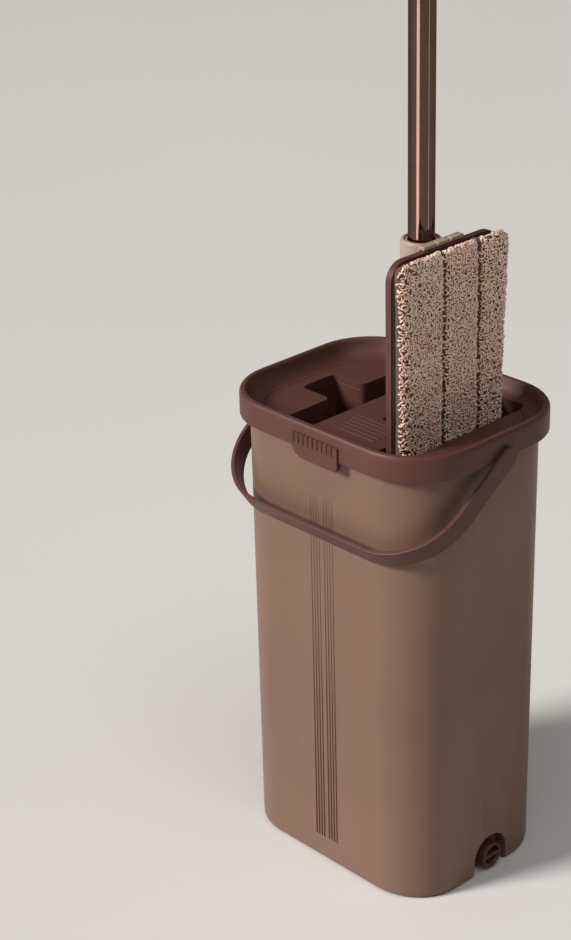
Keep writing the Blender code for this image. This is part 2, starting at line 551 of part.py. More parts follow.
def build():
    clear_scene()
    bucket_body(material("tub_plastic", TAUPE, 0.45))
    drain(material("seal_rubber", DARK, 0.7), material("plug_plastic", BROWN, 0.45))
    rim_collar(material("rim_plastic", BROWN, 0.42))
    insert_floor(material("panel_plastic", BROWN, 0.45))
    for name, slot in SLOTS.items():
        well(name + "_well", material(name + "_well_plastic", BROWN, 0.5), slot, WELL_BOTTOM)
    blades(material("scraper_rubber", DARK, 0.6), material("scrub_plastic", GREY, 0.6))
    bail(material("bail_plastic", BROWN, 0.42), material("ring_steel", STEEL, 0.3, 1.0))
    mop_head(material("tray_plastic", BROWN, 0.42), material("hook_tape", DARK, 0.9),
             material("backing_fabric", GREY, 0.9), material("microfibre", FIBRE, 0.95),
             material("clip_plastic", GREIGE, 0.45), material("screw_steel", STEEL, 0.3, 1.0))
    yoke(material("yoke_plastic", GREIGE, 0.45), material("pin_steel", STEEL, 0.3, 1.0))
    socket(material("socket_plastic", GREIGE, 0.45))
    pole(material("tube_chrome", (0.30, 0.24, 0.23), 0.12, 1.0), material("pole_plastic", GREIGE, 0.45),
         material("grip_rubber", BROWN, 0.6))


build()
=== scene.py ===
# %% [markdown]
# # A flat mop standing in its wringing bucket
# The packed model gives every part its size and place. This lesson gives the parts their finish:
# rounded edges on the mouldings, a tufted pad, a ribbed grip, and a material for each plastic,
# metal and fabric.

# %% Load the frame
import json
import math
import random

import bmesh
import bpy
from mathutils import Matrix, Vector, noise


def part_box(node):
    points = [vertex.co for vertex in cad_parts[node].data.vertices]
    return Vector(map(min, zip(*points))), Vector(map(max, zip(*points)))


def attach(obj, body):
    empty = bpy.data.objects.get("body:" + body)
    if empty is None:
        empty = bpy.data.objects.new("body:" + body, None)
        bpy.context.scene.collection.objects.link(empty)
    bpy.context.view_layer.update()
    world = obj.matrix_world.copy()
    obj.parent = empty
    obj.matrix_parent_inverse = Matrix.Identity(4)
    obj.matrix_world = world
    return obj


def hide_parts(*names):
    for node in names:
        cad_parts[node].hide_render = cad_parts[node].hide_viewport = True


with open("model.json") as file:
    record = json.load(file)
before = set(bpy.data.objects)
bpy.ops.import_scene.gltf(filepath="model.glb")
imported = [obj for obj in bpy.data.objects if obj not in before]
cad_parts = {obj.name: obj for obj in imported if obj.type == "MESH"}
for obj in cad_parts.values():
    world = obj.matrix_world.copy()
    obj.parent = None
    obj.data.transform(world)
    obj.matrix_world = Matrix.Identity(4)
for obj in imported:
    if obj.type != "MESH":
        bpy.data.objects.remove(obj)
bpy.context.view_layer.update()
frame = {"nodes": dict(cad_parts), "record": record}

record = frame["record"]
bodies = record["behaviour"]["bodies"]
body_of = {node: body for body, nodes in bodies.items() for node in nodes}
slot_of = {part["node"]: part["material_slot"] for part in record["subparts"]}

# %% [markdown]
# ## Materials from small expressions
# A material is a chain of nodes, which is slow to read when every sum is written out. One class
# wraps a socket, so that sums are typed as sums, and one method adds any other node.


# %% A socket that can be used in sums
def feed(tree, socket, value):
    if isinstance(value, Socket):
        tree.links.new(value.output, socket)
    else:
        socket.default_value = value


class Socket:
    """An output of a node. Numbers and other sockets can be added to it or multiplied with it."""

    def __init__(self, tree, output):
        self.tree = tree
        self.output = output

    def math(self, operation, first, second):
        return self.node("ShaderNodeMath", {"operation": operation}, {0: first, 1: second})

    def __add__(self, other):
        return self.math("ADD", self, other)

    def __sub__(self, other):
        return self.math("SUBTRACT", self, other)

    def __rsub__(self, other):
        return self.math("SUBTRACT", other, self)

    def __mul__(self, other):
        return self.math("MULTIPLY", self, other)

    __radd__ = __add__
    __rmul__ = __mul__

    def node(self, kind, settings=None, inputs=None, output=0):
        """Any other node: its settings first, then its inputs, by name or number."""
        made = self.tree.nodes.new(kind)
        for name, value in (settings or {}).items():
            if name == "stops":
                set_stops(made.color_ramp, value)
            else:
                setattr(made, name, value)
        for name, value in (inputs or {}).items():
            feed(self.tree, made.inputs[name], value)
        return Socket(self.tree, made.outputs[output])


def set_stops(ramp, stops):
    while len(ramp.elements) < len(stops):
        ramp.elements.new(0.5)
    for element, (position, color) in zip(ramp.elements, stops):
        element.position = position
        element.color = (*color, 1.0)


print("a socket can do:", [name for name in vars(Socket) if name.startswith("__r")], "and sums")


# %% Start and finish a material
def start(name):
    """A new material, its shader and the Object coordinates to paint with."""
    made = bpy.data.materials.new(name)
    made.use_nodes = True
    shader = made.node_tree.nodes["Principled BSDF"]
    coordinates = made.node_tree.nodes.new("ShaderNodeTexCoord")
    return made, shader, Socket(made.node_tree, coordinates.outputs["Object"])


def noise_at(place, scale, detail=3.0, distortion=0.0, stretch=(1, 1, 1)):
    if stretch != (1, 1, 1):
        place = place.node("ShaderNodeMapping", None, {"Vector": place, "Scale": stretch})
    inputs = {"Vector": place, "Scale": scale, "Detail": detail, "Distortion": distortion}
    return place.node("ShaderNodeTexNoise", None, inputs)


def blend_colors(place, share, first, second):
    mix = place.tree.nodes.new("ShaderNodeMix")
    mix.data_type = "RGBA"
    for name, value in (("A", first), ("B", second)):
        socket = next(item for item in mix.inputs if item.name == name and item.type == "RGBA")
        feed(place.tree, socket, value if isinstance(value, Socket) else (*value, 1.0))
    feed(place.tree, mix.inputs[0], share)
    return Socket(place.tree, next(item for item in mix.outputs if item.type == "RGBA"))


def between(place, value, low, high):
    """0 below low, 1 above high, and a straight rise between."""
    inputs = {"Value": value, "From Min": low, "From Max": high}
    return place.node("ShaderNodeMapRange", {"clamp": True}, inputs)


def bumped(place, shader, height, strength, distance):
    inputs = {"Height": height, "Strength": strength, "Distance": distance}
    feed(place.tree, shader.inputs["Normal"], place.node("ShaderNodeBump", None, inputs))


def shade(color, factor):
    return tuple(channel * factor for channel in color)


print("half as bright as (0.4, 0.2, 0.1):", shade((0.4, 0.2, 0.1), 0.5))

# %% [markdown]
# ## Moulded plastic
# Polypropylene out of a spark-eroded mould is satin, not shiny: a fine grain breaks up its
# highlight. It is slightly uneven in colour and scuffed in thin streaks where hands and floors
# touch it. A picture of the grain would need unwrapped faces. Four noises of different scales,
# two of them drawn out along the height, need none and never repeat.

# %% Moulded plastic
CLOUDS, STREAKS, SCRATCHES, PORES = 9.0, 60.0, 240.0, 1400.0
DRAWN_STREAK, DRAWN_SCRATCH = (1.0, 1.0, 0.12), (1.0, 1.0, 0.06)
CLOUD_DARK, CLOUD_LIGHT, SCRATCH_LIGHT = 0.94, 1.05, 1.5
PLASTIC_IOR, PLASTIC_SPECULAR = 1.46, 0.35
GRAIN_STRENGTH, GRAIN_DEPTH = 0.35, 0.0002


def moulded(name, color, roughness, grain=0.5, scuffs=0.5):
    made, shader, place = start(name)
    cloud = noise_at(place, CLOUDS, 2.0)
    streak = noise_at(place, STREAKS, 4.0, 0.4, DRAWN_STREAK)
    lines = noise_at(place, SCRATCHES, 2.0, 1.5, DRAWN_SCRATCH)
    scratch = between(place, lines, 0.66, 0.72) * scuffs
    pores = noise_at(place, PORES, 2.0)
    cloudy = between(place, cloud, 0.35, 0.65)
    tone = blend_colors(place, cloudy, shade(color, CLOUD_DARK), shade(color, CLOUD_LIGHT))
    tone = blend_colors(place, scratch * 0.35, tone, shade(color, SCRATCH_LIGHT))
    feed(place.tree, shader.inputs["Base Color"], tone)
    uneven = roughness + (cloud - 0.5) * 0.10 + (streak - 0.5) * 0.12
    feed(place.tree, shader.inputs["Roughness"], uneven + scratch * 0.10 + (pores - 0.5) * 0.10)
    shader.inputs["IOR"].default_value = PLASTIC_IOR
    shader.inputs["Specular IOR Level"].default_value = PLASTIC_SPECULAR
    bumped(place, shader, pores + scratch * 0.6, grain * GRAIN_STRENGTH, GRAIN_DEPTH)
    return made


TAUPE = (0.178, 0.102, 0.073)
RIM_BROWN = (0.088, 0.032, 0.024)
LIGHT_TAUPE = (0.36, 0.265, 0.210)
GREY_BROWN = (0.085, 0.045, 0.036)
finishes = {
    "tub": moulded("tub_plastic", TAUPE, 0.46, 0.5, 0.35),
    "rim": moulded("rim_plastic", RIM_BROWN, 0.48, 0.5, 0.5),
    "socket": moulded("light_taupe_plastic", LIGHT_TAUPE, 0.42, 0.4, 0.3),
    "grey_plastic": moulded("grey_plastic", GREY_BROWN, 0.55, 0.6, 0.3),
}
print("plastics:", sorted(finishes))

# %% [markdown]
# ## Rubber, steel and dark chrome
# Rubber is matt with a faint bloom. Steel screws and pins have a fine brushed grain. The tube's
# dark chrome is nearly a mirror, with hair-thin polishing lines along it and finger marks. Both
# metals share one recipe: only the scale and the stretch of the lines differ.

# %% Rubber
BLOOM, SKIN = 25.0, 900.0
BLOOM_LIGHT, SKIN_STRENGTH = 1.7, 0.3


def rubber(name, color, roughness):
    made, shader, place = start(name)
    bloom = noise_at(place, BLOOM, 4.0)
    skin = noise_at(place, SKIN, 3.0)
    tone = blend_colors(place, between(place, bloom, 0.4, 0.75), color, shade(color, BLOOM_LIGHT))
    feed(place.tree, shader.inputs["Base Color"], tone)
    feed(place.tree, shader.inputs["Roughness"], roughness + (bloom - 0.5) * 0.2)
    bumped(place, shader, skin, SKIN_STRENGTH, GRAIN_DEPTH)
    return made


finishes["seal_rubber"] = rubber("seal_rubber", (0.030, 0.022, 0.020), 0.62)
finishes["grip_rubber"] = rubber("grip_rubber", (0.115, 0.062, 0.052), 0.58)
print("rubbers ready, finishes so far:", len(finishes))

# %% Steel and dark chrome
FINGER_MARKS, MARK_LIGHT = 40.0, 1.18
NEUTRAL_GLANCE = (0.50, 0.46, 0.44, 1.0)
LINE_STRENGTH, LINE_DEPTH = 0.06, 0.0001


def metal(name, color, roughness, lines, stretch):
    made, shader, place = start(name)
    brush = noise_at(place, lines, 2.0, 0.0, stretch)
    marks = noise_at(place, FINGER_MARKS, 4.0, 0.6)
    tone = blend_colors(place, between(place, marks, 0.3, 0.8), color, shade(color, MARK_LIGHT))
    feed(place.tree, shader.inputs["Base Color"], tone)
    shader.inputs["Metallic"].default_value = 1.0
    shader.inputs["Specular Tint"].default_value = NEUTRAL_GLANCE
    smeared = between(place, marks, 0.55, 0.9) * 0.12
    feed(place.tree, shader.inputs["Roughness"], roughness + (brush - 0.5) * 0.08 + smeared)
    bumped(place, shader, brush, LINE_STRENGTH, LINE_DEPTH)
    return made


EVEN, ALONG_TUBE = (1.0, 1.0, 1.0), (1.0, 1.0, 0.02)
finishes["steel"] = metal("turned_steel", (0.56, 0.54, 0.52), 0.28, 900.0, EVEN)
finishes["dark_chrome"] = metal("dark_chrome", (0.110, 0.068, 0.057), 0.10, 700.0, ALONG_TUBE)
print("metals ready, finishes so far:", len(finishes))

# %% [markdown]
# ## Fabrics
# The pad is heathered microfibre: its loops are cream, beige and brown, and the colour changes
# from loop to loop. A colour ramp over a fine noise gives that mix without a picture. The backing
# is a plain grey weave, two crossing waves, and the hook tape is a black felt of tiny hooks.

# %% Microfibre
YARNS, PATCHES, FIBRES = 480.0, 55.0, 2200.0
HEATHER = [(0.31, (0.24, 0.115, 0.075)), (0.39, (0.76, 0.45, 0.33)),
           (0.49, (0.88, 0.59, 0.46)), (0.61, (0.93, 0.74, 0.62))]
CLOTH_BUMP = 0.0004


def microfibre(name):
    made, shader, place = start(name)
    yarn = noise_at(place, YARNS, 2.0, 1.2)
    patch = noise_at(place, PATCHES, 3.0)
    fibre = noise_at(place, FIBRES, 2.0)
    mixed = yarn + (patch - 0.5) * 0.25 + (fibre - 0.5) * 0.18
    heather = place.node("ShaderNodeValToRGB", {"stops": HEATHER}, {0: mixed})
    feed(place.tree, shader.inputs["Base Color"], heather)
    shader.inputs["Roughness"].default_value = 0.93
    shader.inputs["Sheen Weight"].default_value = 0.35
    shader.inputs["Sheen Roughness"].default_value = 0.5
    bumped(place, shader, fibre + yarn * 0.6, 0.8, CLOTH_BUMP)
    return made


finishes["microfibre"] = microfibre("microfibre_loops")
print("yarn colours:", len(HEATHER))

# %% Backing weave and hook tape
WAVE_REPEAT = 0.314     # metres from band to band of a wave texture whose scale is 1


def weave(name, color, pitch):
    made, shader, place = start(name)
    drawn = {"Vector": place, "Scale": WAVE_REPEAT / pitch, "Distortion": 0.6,
             "Detail": 1.0, "Detail Scale": 30.0}
    waves = []
    for axis in ("Y", "Z"):
        turned = {"wave_type": "BANDS", "bands_direction": axis, "wave_profile": "SIN"}
        waves.append(place.node("ShaderNodeTexWave", turned, drawn, output=1))
    over = waves[0] * 0.5 + waves[1] * 0.5
    tone = blend_colors(place, over, shade(color, 0.55), shade(color, 1.25))
    feed(place.tree, shader.inputs["Base Color"], tone)
    shader.inputs["Roughness"].default_value = 0.9
    bumped(place, shader, over, 0.6, CLOTH_BUMP)
    return made


finishes["backing"] = weave("backing_weave", (0.23, 0.20, 0.18), 0.0012)
finishes["hook_tape"] = weave("hook_tape", (0.035, 0.03, 0.03), 0.0009)
print("fabrics ready, finishes in all:", len(finishes))

# %% [markdown]
# ## Rounding the mouldings
# A mould never leaves a knife edge, and the thin bright line along a rounded edge is what makes
# a moulding look real. Each rigid part is a copy of its solid with its flat faces cleaned up and
# a small bevel on every sharp edge. The alternative, a Bevel shader node, would be lost in the
# exported model.

# %% Helpers for new pieces
WELD = 0.00001


def linked(name, data):
    made = bpy.data.objects.new(name, data)
    bpy.context.scene.collection.objects.link(made)
    return made


def mesh_from(name, shape):
    mesh = bpy.data.meshes.new(name)
    shape.to_mesh(mesh)
    shape.free()
    return mesh


def smooth_to(mesh, degrees):
    """Smooth shading, but a crease where faces meet at more than so many degrees."""
    mesh.shade_smooth()
    mesh.set_sharp_from_angle(angle=math.radians(degrees))


def round_edges(piece, width, segments, degrees, harden=False):
    edge = piece.modifiers.new("edges", "BEVEL")
    edge.width, edge.segments, edge.limit_method = width, segments, "ANGLE"
    edge.angle_limit = math.radians(degrees)
    edge.harden_normals = harden


def settle(name, mesh, node, finish=None, replaced=True):
    """Link a piece, give it its finish and body, and let it stand for its solid."""
    piece = linked(name, mesh)
    mesh.materials.clear()
    mesh.materials.append(finish or finishes[slot_of[node]])
    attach(piece, body_of[node])
    if replaced:
        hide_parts(node)
    return piece


print("solids to finish:", len(slot_of))

# %% Round a rigid part's edges
SHARP, FLAT = 28, 1.0
FLUTE_HEIGHT, FLUTE_STANDS = 0.0002, 0.00005
tub_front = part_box("bucket_body")[0].y + FLUTE_HEIGHT


def rounded_copy(node, width):
    shape = bmesh.new()
    shape.from_mesh(frame["nodes"][node].data)
    bmesh.ops.remove_doubles(shape, verts=shape.verts, dist=WELD)
    bmesh.ops.dissolve_limit(shape, angle_limit=math.radians(FLAT),
                             verts=shape.verts, edges=shape.edges)
    if node == "bucket_body":
        for vert in shape.verts:     # the flutes are finer than the solid can tell
            vert.co.y = max(vert.co.y, tub_front - FLUTE_STANDS)
    mesh = mesh_from(node + "_moulding", shape)
    smooth_to(mesh, SHARP)
    piece = settle(node + "_moulding", mesh, node)
    round_edges(piece, width, 2, SHARP, harden=True)


edge_widths = {
    "bucket_body": 0.0001, "rim_collar": 0.0004, "insert_floor": 0.0005,
    "wash_well": 0.0004, "wring_well": 0.0004, "mop_plate": 0.0005,
    "hinge_bracket": 0.0003, "end_clip": 0.0003, "yoke_block": 0.0003, "socket": 0.0003,
    "drain_plug": 0.0003, "drain_seal": 0.0002, "scraper_pad": 0.0003,
    "scraper_back_left": 0.0003, "scraper_back_right": 0.0003, "scrub_strip_pad": 0.0004,
    "scrub_strip_back_left": 0.0004, "scrub_strip_back_right": 0.0004,
    "pad_backing": 0.0003, "hook_strip_1": 0.0002, "hook_strip_2": 0.0002,
    "hook_strip_3": 0.0002, "bail_ring_left": 0.0002, "bail_ring_right": 0.0002,
    "fold_pin": 0.0003, "tilt_pin": 0.0003, "bracket_screw_1": 0.0002,
    "bracket_screw_2": 0.0002, "swivel_ring": 0.0002, "tube_foot": 0.0002,
    "tube_joint": 0.0003, "lower_tube": 0.0002, "upper_tube": 0.0002, "hanging_cap": 0.0004,
}
for node, width in edge_widths.items():
    rounded_copy(node, width)
print("rounded parts:", len(edge_widths))

# %% [markdown]
# ## The bail
# The bail is one flat band of plastic bent round the tub. A path of four points with its two
# corners bevelled gives the bend, an extrusion gives the band its width, and two bevelled
# corners at each end give the round eyes that sit over the pivots. A curve with a bevel would
# bend as well, but its ends couldn't be rounded.

# %% The bail's band
bail_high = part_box("bail_handle")[1]
BAND, BAND_THICK, BAIL_INSET = 0.0155, 0.0035, 0.0003
BAIL_REACH, BAIL_CORNER = 0.1087, 0.0535
CORNER_STEPS, EYE_STEPS = 20, 8
bail_half = bail_high.x - BAND_THICK / 2 - BAIL_INSET


def round_corners(shape, corners, offset, steps):
    bmesh.ops.bevel(shape, geom=corners, offset=offset, segments=steps, profile=0.5,
                    affect="VERTICES", material=-1)


def bail_band():
    shape = bmesh.new()
    stops = [(bail_half, BAND / 2), (bail_half, -BAIL_REACH),
             (-bail_half, -BAIL_REACH), (-bail_half, BAND / 2)]
    points = [shape.verts.new((x, y, -BAND / 2)) for x, y in stops]
    for first, second in zip(points, points[1:]):
        shape.edges.new((first, second))
    round_corners(shape, points[1:3], BAIL_CORNER, CORNER_STEPS)
    drawn = bmesh.ops.extrude_edge_only(shape, edges=shape.edges[:])
    risen = [item for item in drawn["geom"] if isinstance(item, bmesh.types.BMVert)]
    bmesh.ops.translate(shape, vec=(0, 0, BAND), verts=risen)
    ends = [vert for vert in shape.verts if abs(vert.co.y - BAND / 2) < WELD]
    round_corners(shape, ends, BAND / 2 - BAIL_INSET, EYE_STEPS)
    bmesh.ops.recalc_face_normals(shape, faces=shape.faces)
    bmesh.ops.solidify(shape, geom=shape.faces[:], thickness=BAND_THICK)
    bmesh.ops.recalc_face_normals(shape, faces=shape.faces)
    return shape


band = bail_band()
print("band faces:", len(band.faces))

# %% Set the bail on its pivots
BAIL_ANGLE = math.radians(35.3)
joints = record["behaviour"]["joints"]
bail_joint = next(joint for joint in joints if joint["name"] == "bail_swing")
pivot = Vector(bail_joint["pos_m"])
spread = max(vert.co.x for vert in band.verts)
bmesh.ops.scale(band, vec=((bail_half + BAND_THICK / 2) / spread, 1, 1), verts=band.verts)
lean = Matrix.Translation(pivot) @ Matrix.Rotation(BAIL_ANGLE, 4, "X")
bmesh.ops.transform(band, matrix=lean, verts=band.verts)
bail_mesh = mesh_from("bail_band", band)
smooth_to(bail_mesh, 35)
bail_piece = settle("bail_band", bail_mesh, "bail_handle")
round_edges(bail_piece, 0.0008, 3, 40)
print("bail pivots at", [round(value, 4) for value in pivot])

# %% [markdown]
# ## The grip
# A soft sleeve over the pole's top, ribbed so that a wet hand can turn and push it. The profile
# is drawn once with its ribs and turned round the pole, as on a lathe. Rings added to a plain
# cylinder would look stuck on.

# %% The grip's profile
grip_low, grip_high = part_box("grip_sleeve")
pole_axis = (grip_low + grip_high) / 2
GRIP_RIBS, RIB_DEPTH = 14, 0.0009
RIB_PROFILE = ((0.0, 0.0), (0.18, RIB_DEPTH), (0.42, RIB_DEPTH), (0.60, 0.0))
PLAIN_FOOT, PLAIN_ENDS = 0.014, 0.032
MOUTH, MOUTH_CHAMFER = 0.0100, 0.0012
TOP_HOLE, TOP_CHAMFER = 0.0076, 0.0015


def grip_profile():
    """Points of radius and height. Each groove starts and ends with a short slope."""
    radius = (grip_high.x - grip_low.x) / 2
    height = grip_high.z - grip_low.z
    points = [(MOUTH, 0.0), (radius - MOUTH_CHAMFER, 0.0), (radius, MOUTH_CHAMFER)]
    pitch = (height - PLAIN_ENDS) / GRIP_RIBS
    for rib in range(GRIP_RIBS):
        base = PLAIN_FOOT + rib * pitch
        points += [(radius - depth, base + pitch * share) for share, depth in RIB_PROFILE]
    points += [(radius, height - TOP_CHAMFER), (radius - TOP_CHAMFER, height)]
    return points + [(TOP_HOLE, height)]


print("points in the profile:", len(grip_profile()))

# %% Turn the grip
GRIP_STEPS = 64
grip = bmesh.new()
outline = [grip.verts.new((radius, 0, height)) for radius, height in grip_profile()]
for first, second in zip(outline, outline[1:]):
    grip.edges.new((first, second))
bmesh.ops.spin(grip, geom=grip.verts[:] + grip.edges[:], cent=(0, 0, 0), axis=(0, 0, 1),
               angle=2 * math.pi, steps=GRIP_STEPS, use_merge=True)
bmesh.ops.remove_doubles(grip, verts=grip.verts, dist=WELD)
bmesh.ops.translate(grip, vec=(pole_axis.x, pole_axis.y, grip_low.z), verts=grip.verts)
bmesh.ops.recalc_face_normals(grip, faces=grip.faces)
grip_mesh = mesh_from("grip_ribbed", grip)
smooth_to(grip_mesh, 50)
settle("grip_ribbed", grip_mesh, "grip_sleeve")
print("grip faces:", len(grip_mesh.polygons))

# %% [markdown]
# ## The pad
# The pad is a sewn bag of looped microfibre over a thin wadding. Two lines of stitches part it
# into three pillows. A grid could be bent by a formula, but cloth swells more naturally: the
# pad's solid is remeshed, blown up a little by Blender's cloth, and only then sewn down along
# its two seams.

# %% The pad before it swells
pad_low, pad_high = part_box("mop_pad")
pad_middle = (pad_low + pad_high) / 2
pad_half = (pad_high - pad_low) / 2
LOOP_RISE = 0.0013
VOXEL = 0.0040


def evaluated_mesh(thing):
    graph = bpy.context.evaluated_depsgraph_get()
    return bpy.data.meshes.new_from_object(thing.evaluated_get(graph), depsgraph=graph)


def pad_core():
    """The pad's solid in small squares, with room left for the loops everywhere but behind."""
    core = bmesh.new()
    core.from_mesh(frame["nodes"]["mop_pad"].data)
    bmesh.ops.remove_doubles(core, verts=core.verts, dist=WELD)
    for vert in core.verts:
        away = vert.co - pad_middle
        insets = (LOOP_RISE if away.x > 0 else 0.0, LOOP_RISE, LOOP_RISE)
        vert.co -= Vector([math.copysign(min(abs(part), inset), part)
                           for part, inset in zip(away, insets)])
    thing = linked("pad_core", mesh_from("pad_core", core))
    voxels = thing.modifiers.new("voxels", "REMESH")
    voxels.mode, voxels.voxel_size = "VOXEL", VOXEL
    thing.data = evaluated_mesh(thing)
    thing.modifiers.clear()
    return thing


core = pad_core()
print("squares in the pad's solid:", len(core.data.polygons))

# %% Blow up the pad
SWELL = 0.0016
PRESSURE, LAST_FRAME = 4.0, 20


def blow_up(thing):
    """A short cloth simulation with air inside and no gravity."""
    cloth = thing.modifiers.new("cloth", "CLOTH")
    cloth.settings.use_pressure = True
    cloth.settings.uniform_pressure_force = PRESSURE
    cloth.settings.effector_weights.gravity = 0.0
    cloth.point_cache.frame_start, cloth.point_cache.frame_end = 1, LAST_FRAME
    for moment in range(1, LAST_FRAME + 1):
        bpy.context.scene.frame_set(moment)
    thing.data = evaluated_mesh(thing)
    thing.modifiers.clear()
    bpy.context.scene.frame_set(1)


def swollen(thing):
    """The cloth's mesh, held to a small swell as by its wadding, and smoothed once."""
    begun_at = [vert.co.copy() for vert in thing.data.vertices]
    blow_up(thing)
    for vert, begun in zip(thing.data.vertices, begun_at):
        move = vert.co - begun
        if move.length > SWELL:
            move *= SWELL / move.length
        vert.co = begun + move
    smooth = thing.modifiers.new("smooth", "SUBSURF")
    smooth.levels = smooth.render_levels = 1
    mesh = evaluated_mesh(thing)
    bpy.data.objects.remove(thing)
    return mesh


pad_mesh = swollen(core)
pad_mesh.name = "pad_body"
print("pad faces:", len(pad_mesh.polygons))

# %% [markdown]
# ## Sewing the pad down
# Each seam pulls the cloth in along a narrow groove, and the cut edge wanders where the loops
# push it. All of it is a small move of every point, kept inside the room that the pad's solid
# leaves. Modelling the stitches one by one would add nothing, because the loops cover them.

# %% How far each place is pulled
SEAMS = (-0.0120, 0.0240)
PILLOWS = (pad_low.y, *SEAMS, pad_high.y)
SEAM_WIDTH, SEAM_DEPTH = 0.0019, 0.0034
WAVE_FROM, WAVE_LENGTH, TOP_CORNER = 0.465, 0.17, 0.012
HOLLOW_POWER = 2.5


def seam_pull(y):
    """1 on a seam, falling to 0 beside it."""
    return max(math.exp(-((y - seam) / SEAM_WIDTH) ** 2) for seam in SEAMS)


def hollow(y):
    """0 on the crown of a pillow, rising to 1 at its sides."""
    pillows = zip(PILLOWS, PILLOWS[1:])
    left, right = next(pair for pair in pillows if y <= pair[1] or pair[1] == PILLOWS[-1])
    return abs(2 * (y - left) / (right - left) - 1) ** HOLLOW_POWER


def edge_pull(z):
    """How far the free long edge draws in, in slow waves with a turned-in top corner."""
    wave = 0.5 - 0.5 * math.cos(2 * math.pi * (z - WAVE_FROM) / WAVE_LENGTH)
    corner = max(0.0, 1 - (pad_high.z - z) / TOP_CORNER)
    return wave + corner ** 2


def rising(share, power):
    """0 in the middle, rising to 1 or falling to -1 only near the edges."""
    return math.copysign(abs(share) ** power, share)


print("pull on a seam:", seam_pull(SEAMS[0]), "at the pad's top:", round(edge_pull(pad_high.z), 3))

# %% Move every point of the pad
CROWN = 0.0016
EDGE_WAVE = 0.0042
FLARE = 0.0046
SINK = 0.0004
LUMPS = ((60, 0.0, 0.0006), (22, 5.0, 0.0009))      # lumps per metre, seed, height
FRAY = 0.0008
EDGE_ROOM = 0.0009
room_below = (0.0, EDGE_ROOM, EDGE_ROOM)
room_above = (LOOP_RISE * 0.8, EDGE_ROOM, EDGE_ROOM)


def sewn(point):
    x, y, z = point
    front = min(max((x - pad_low.x) / (2 * pad_half.x), 0.0), 1.0)
    lump = sum(noise.noise(Vector((y * scale, z * scale, seed))) * height
               for scale, seed, height in LUMPS)
    x += (lump - SINK - SEAM_DEPTH * seam_pull(y) - CROWN * hollow(y)) * front
    y -= EDGE_WAVE * edge_pull(z) * max(y / pad_half.y, 0.0) ** 3
    y -= FLARE * (1 - front) * rising(y / pad_half.y, 3)
    z -= FLARE * (1 - front) * rising((z - pad_middle.z) / pad_half.z, 9)
    y += noise.noise(Vector((z * 70, 3.1, x * 60))) * FRAY * rising(y / pad_half.y, 3)
    z += noise.noise(Vector((y * 70, 7.7, x * 60))) * FRAY
    limits = zip((x, y, z), pad_low, pad_high, room_below, room_above)
    return [min(max(value, low + below), high - above)
            for value, low, high, below, above in limits]


for vert in pad_mesh.vertices:
    vert.co = sewn(vert.co)
pad_mesh.shade_smooth()
# The pad's body under the loops is painted dark brown as painted shade: it shows between the
# loops, and along the seams where loops are left out.
finishes["pad_ground_painted_shade"] = moulded("pad_ground_painted_shade", (0.11, 0.065, 0.050), 0.9, 1.0, 0.0)
pad_piece = settle("pad_body", pad_mesh, "mop_pad", finishes["pad_ground_painted_shade"])
print("seams at", SEAMS)

# %% [markdown]
# ## The pile
# Short fat loops of yarn stand all over the pad. One loop is half a ring, spun from a small
# triangle, so it has only a few faces. It is copied to some thousand places, spread evenly by
# area and left out at most places on a seam, each with its own turn, size and lean. Hair
# particles would be quicker to make, but they don't survive an export.

# %% One loop of yarn
YARN = 0.00072
LOOP_WIDE = (0.0021, 0.0030)
LOOP_USUAL = 0.0026
YARN_SIDES, LOOP_STEPS = 3, 4


def one_loop():
    """Half a ring of yarn on the X-Z plane, 1 unit wide, with its middle at the origin."""
    ring = bmesh.new()
    bmesh.ops.create_circle(ring, segments=YARN_SIDES, radius=YARN / LOOP_USUAL, cap_ends=False)
    bmesh.ops.translate(ring, vec=(0.5, 0, 0), verts=ring.verts)
    bmesh.ops.spin(ring, geom=ring.verts[:] + ring.edges[:], cent=(0, 0, 0), axis=(0, -1, 0),
                   angle=math.pi, steps=LOOP_STEPS)
    bmesh.ops.recalc_face_normals(ring, faces=ring.faces)
    return mesh_from("one_loop", ring)


yarn_loop = one_loop()
print("faces of one loop:", len(yarn_loop.polygons))

# %% Where the loops stand
LOOP_COUNT = 8600
BARE_BACK = 1.15        # loops start a little in front of the middle of the pad's thickness
back_limit = pad_low.x + pad_half.x * BARE_BACK


def loop_spots():
    """Faces of the pad, chosen so that every bit of area gets its share of the loops."""
    places = [face for face in pad_mesh.polygons if face.center.x > back_limit]
    room = sum(face.area for face in places)
    owed = 0.0
    for face in places:
        owed += LOOP_COUNT * face.area / room
        if owed >= 1.0:
            owed -= 1.0
            yield face.center.copy(), face.normal.copy()


print("places for loops:", sum(1 for _ in loop_spots()))

# %% The pad's yarn loops
# Loops left out on a seam bare the dark pad body, which draws painted shade along the seams.
SEAM_SKIP = 0.75
LEAN, SHIFT, ROOT = 0.5, 0.0006, 0.0003
TALL = (0.75, 1.15)
draw = random.Random(7)


def loop_stance(middle, normal):
    """A loop's place, turn, size and lean as one matrix."""
    tangent = normal.orthogonal().normalized()
    across = Matrix.Rotation(draw.uniform(0, 2 * math.pi), 3, normal) @ tangent
    up = (normal + Vector([draw.uniform(-LEAN, LEAN) for _ in range(3)])).normalized()
    beside = up.cross(across).normalized()
    wide = draw.uniform(*LOOP_WIDE)
    tall = wide * draw.uniform(*TALL)
    middle = middle + across * draw.uniform(-SHIFT, SHIFT) - normal * ROOT
    turned = Matrix((across * wide, beside * wide, up * tall)).transposed().to_4x4()
    return Matrix.Translation(middle) @ turned


